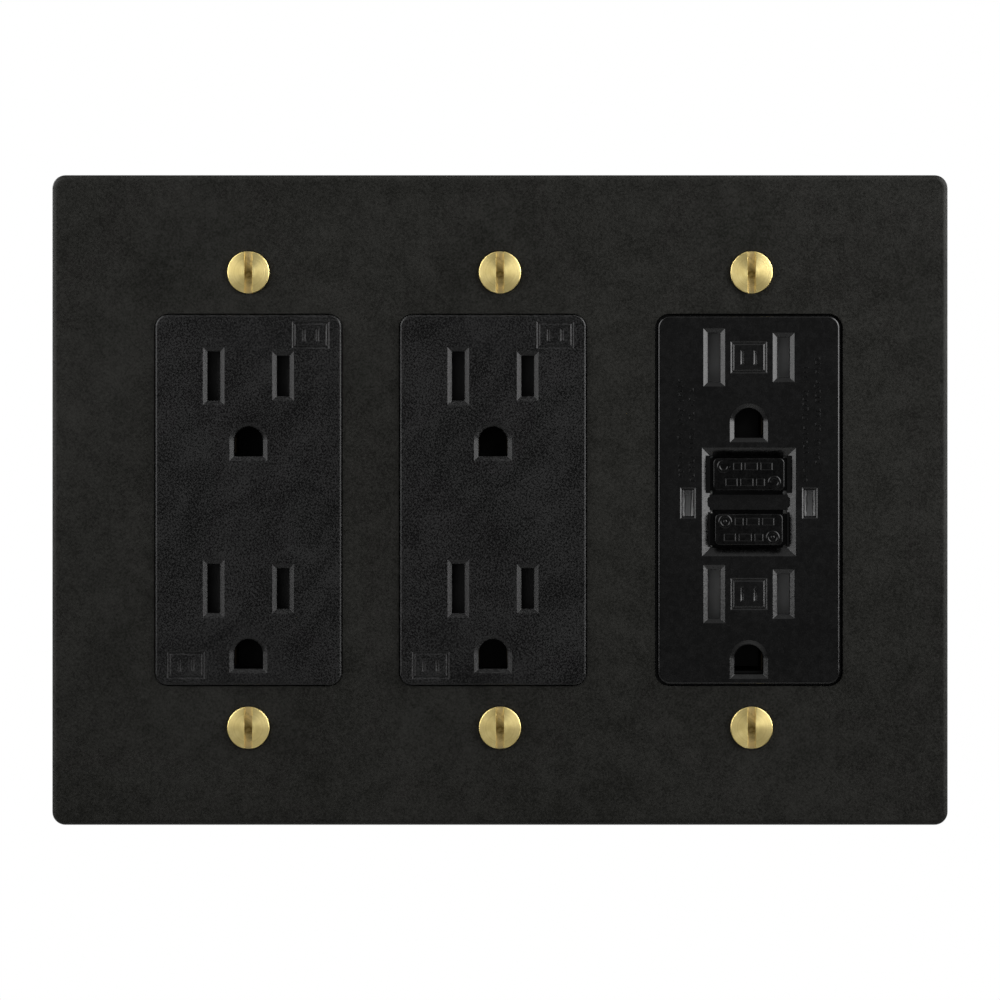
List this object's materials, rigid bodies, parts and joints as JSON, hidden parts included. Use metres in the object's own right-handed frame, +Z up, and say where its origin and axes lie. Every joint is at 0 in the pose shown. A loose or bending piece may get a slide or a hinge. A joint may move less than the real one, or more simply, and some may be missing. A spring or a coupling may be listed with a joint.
{
  "type": "wall plate cover",
  "caption": "Rectangular black wall plate over a row of shuttered power receptacles, one with test and reset buttons, held by slotted brass screws.",
  "frame": {"origin": "centre of the screw pattern on the wall plane, which is also the centre of the plate's back rim", "axes": "+X to the right along the plate as seen from the room, +Y into the wall, +Z up the wall"},
  "size_m": [0.164, 0.0368, 0.119],
  "materials": {
    "plate": "black powder-coat look, fine mottled texture",
    "turned_brass": "turned brass with fine concentric tool marks",
    "zinc_screw": "zinc plated",
    "terminal_brass": "plain brass",
    "terminal_silver": "nickel plated brass",
    "ground_green": "green dyed steel",
    "zinc_steel": "zinc plated steel",
    "receptacle_face": "black plastic with a fine grain",
    "gfci_face": "smooth black plastic, half gloss",
    "inner_plastic": "dark grey plastic",
    "shutter_plastic": "grey plastic",
    "spring_steel": "spring wire",
    "back_plastic": "black moulded plastic",
    "contact_brass": "stamped brass",
    "tinned_brass": "tin plated brass",
    "separator_plastic": "off-white heat resistant plastic",
    "button_plastic": "smooth black plastic",
    "clear_plastic": "clear moulded plastic",
    "board_green": "green circuit board",
    "board_parts": "moulded electronic parts",
    "coil_copper": "enamelled copper wire"
  },
  "bodies": {
    "plate_and_receptacles": {"wall_plate": "plate", "plate_screws": "turned_brass", "body_screws": "zinc_screw", "brass_terminal_screws": "terminal_brass", "silver_terminal_screws": "terminal_silver", "ground_screws": "ground_green", "wire_clamp_plates": "zinc_steel", "left_face": "receptacle_face", "left_shutter_retainer": "inner_plastic", "left_upper_shutter_spring": "spring_steel", "left_lower_shutter_spring": "spring_steel", "left_strap": "zinc_steel", "left_back_body": "back_plastic", "left_hot_contacts": "contact_brass", "left_ground_contacts": "contact_brass", "left_neutral_contacts": "tinned_brass", "middle_face": "receptacle_face", "middle_shutter_retainer": "inner_plastic", "middle_upper_shutter_spring": "spring_steel", "middle_lower_shutter_spring": "spring_steel", "middle_strap": "zinc_steel", "middle_back_body": "back_plastic", "middle_hot_contacts": "contact_brass", "middle_ground_contacts": "contact_brass", "middle_neutral_contacts": "tinned_brass", "gfci_face": "gfci_face", "gfci_shutter_retainer": "inner_plastic", "gfci_upper_shutter_spring": "spring_steel", "gfci_lower_shutter_spring": "spring_steel", "reset_spring": "spring_steel", "plunger_spring": "spring_steel", "gfci_strap": "zinc_steel", "solenoid_frame": "zinc_steel", "coil_bobbin": "separator_plastic", "gfci_back_body": "back_plastic", "gfci_separator": "back_plastic", "gfci_hot_contacts": "contact_brass", "gfci_ground_contacts": "contact_brass", "gfci_line_terminals": "contact_brass", "test_contact_arm": "contact_brass", "contact_arms": "contact_brass", "gfci_neutral_contacts": "tinned_brass", "light_pipes": "clear_plastic", "circuit_board": "board_green", "board_components": "board_parts", "sensing_coils": "coil_copper", "coil_winding": "coil_copper"},
    "reset_button_and_pin": {"reset_button": "button_plastic", "reset_pin": "zinc_steel"},
    "test_button": {"test_button": "button_plastic"},
    "contact_carriage": {"contact_carriage": "separator_plastic"},
    "latch_plate": {"latch_plate": "zinc_steel"},
    "trip_plunger": {"trip_plunger": "zinc_steel"},
    "left_upper_shutter": {"left_upper_shutter": "shutter_plastic"},
    "left_lower_shutter": {"left_lower_shutter": "shutter_plastic"},
    "middle_upper_shutter": {"middle_upper_shutter": "shutter_plastic"},
    "middle_lower_shutter": {"middle_lower_shutter": "shutter_plastic"},
    "gfci_upper_shutter": {"gfci_upper_shutter": "shutter_plastic"},
    "gfci_lower_shutter": {"gfci_lower_shutter": "shutter_plastic"}
  },
  "joints": [
    {"name": "reset_press", "type": "slide", "parent": "plate_and_receptacles", "child": "reset_button_and_pin", "axis": [0, 1, 0], "range_m": [0, 0.0018], "stiffness_N_per_m": 300, "deforming": ["reset_spring"]},
    {"name": "carriage_travel", "type": "slide", "parent": "plate_and_receptacles", "child": "contact_carriage", "axis": [0, 1, 0], "range_m": [0, 0.0018], "deforming": ["contact_arms"]},
    {"name": "test_press", "type": "slide", "parent": "plate_and_receptacles", "child": "test_button", "axis": [0, 1, 0], "range_m": [0, 0.0012], "stiffness_N_per_m": 260, "deforming": ["test_contact_arm"]},
    {"name": "plunger_stroke", "type": "slide", "parent": "plate_and_receptacles", "child": "trip_plunger", "axis": [0, 0, 1], "range_m": [0, 0.0016], "stiffness_N_per_m": 80, "deforming": ["plunger_spring"]},
    {"name": "latch_slide", "type": "slide", "parent": "contact_carriage", "child": "latch_plate", "axis": [0, 0, 1], "range_m": [0, 0.0016]},
    {"name": "left_upper_shutter_slide", "type": "slide", "parent": "plate_and_receptacles", "child": "left_upper_shutter", "axis": [1, 0, 0], "range_m": [0, 0.0028], "stiffness_N_per_m": 80, "deforming": ["left_upper_shutter_spring"]},
    {"name": "left_lower_shutter_slide", "type": "slide", "parent": "plate_and_receptacles", "child": "left_lower_shutter", "axis": [1, 0, 0], "range_m": [0, 0.0028], "stiffness_N_per_m": 80, "deforming": ["left_lower_shutter_spring"]},
    {"name": "middle_upper_shutter_slide", "type": "slide", "parent": "plate_and_receptacles", "child": "middle_upper_shutter", "axis": [1, 0, 0], "range_m": [0, 0.0028], "stiffness_N_per_m": 80, "deforming": ["middle_upper_shutter_spring"]},
    {"name": "middle_lower_shutter_slide", "type": "slide", "parent": "plate_and_receptacles", "child": "middle_lower_shutter", "axis": [1, 0, 0], "range_m": [0, 0.0028], "stiffness_N_per_m": 80, "deforming": ["middle_lower_shutter_spring"]},
    {"name": "gfci_upper_shutter_slide", "type": "slide", "parent": "plate_and_receptacles", "child": "gfci_upper_shutter", "axis": [1, 0, 0], "range_m": [0, 0.0028], "stiffness_N_per_m": 80, "deforming": ["gfci_upper_shutter_spring"]},
    {"name": "gfci_lower_shutter_slide", "type": "slide", "parent": "plate_and_receptacles", "child": "gfci_lower_shutter", "axis": [1, 0, 0], "range_m": [0, 0.0028], "stiffness_N_per_m": 80, "deforming": ["gfci_lower_shutter_spring"]}
  ],
  "couplings": [
    {"joint": "carriage_travel", "follows": "reset_press", "ratio": 1},
    {"joint": "latch_slide", "follows": "plunger_stroke", "ratio": 1}
  ]
}
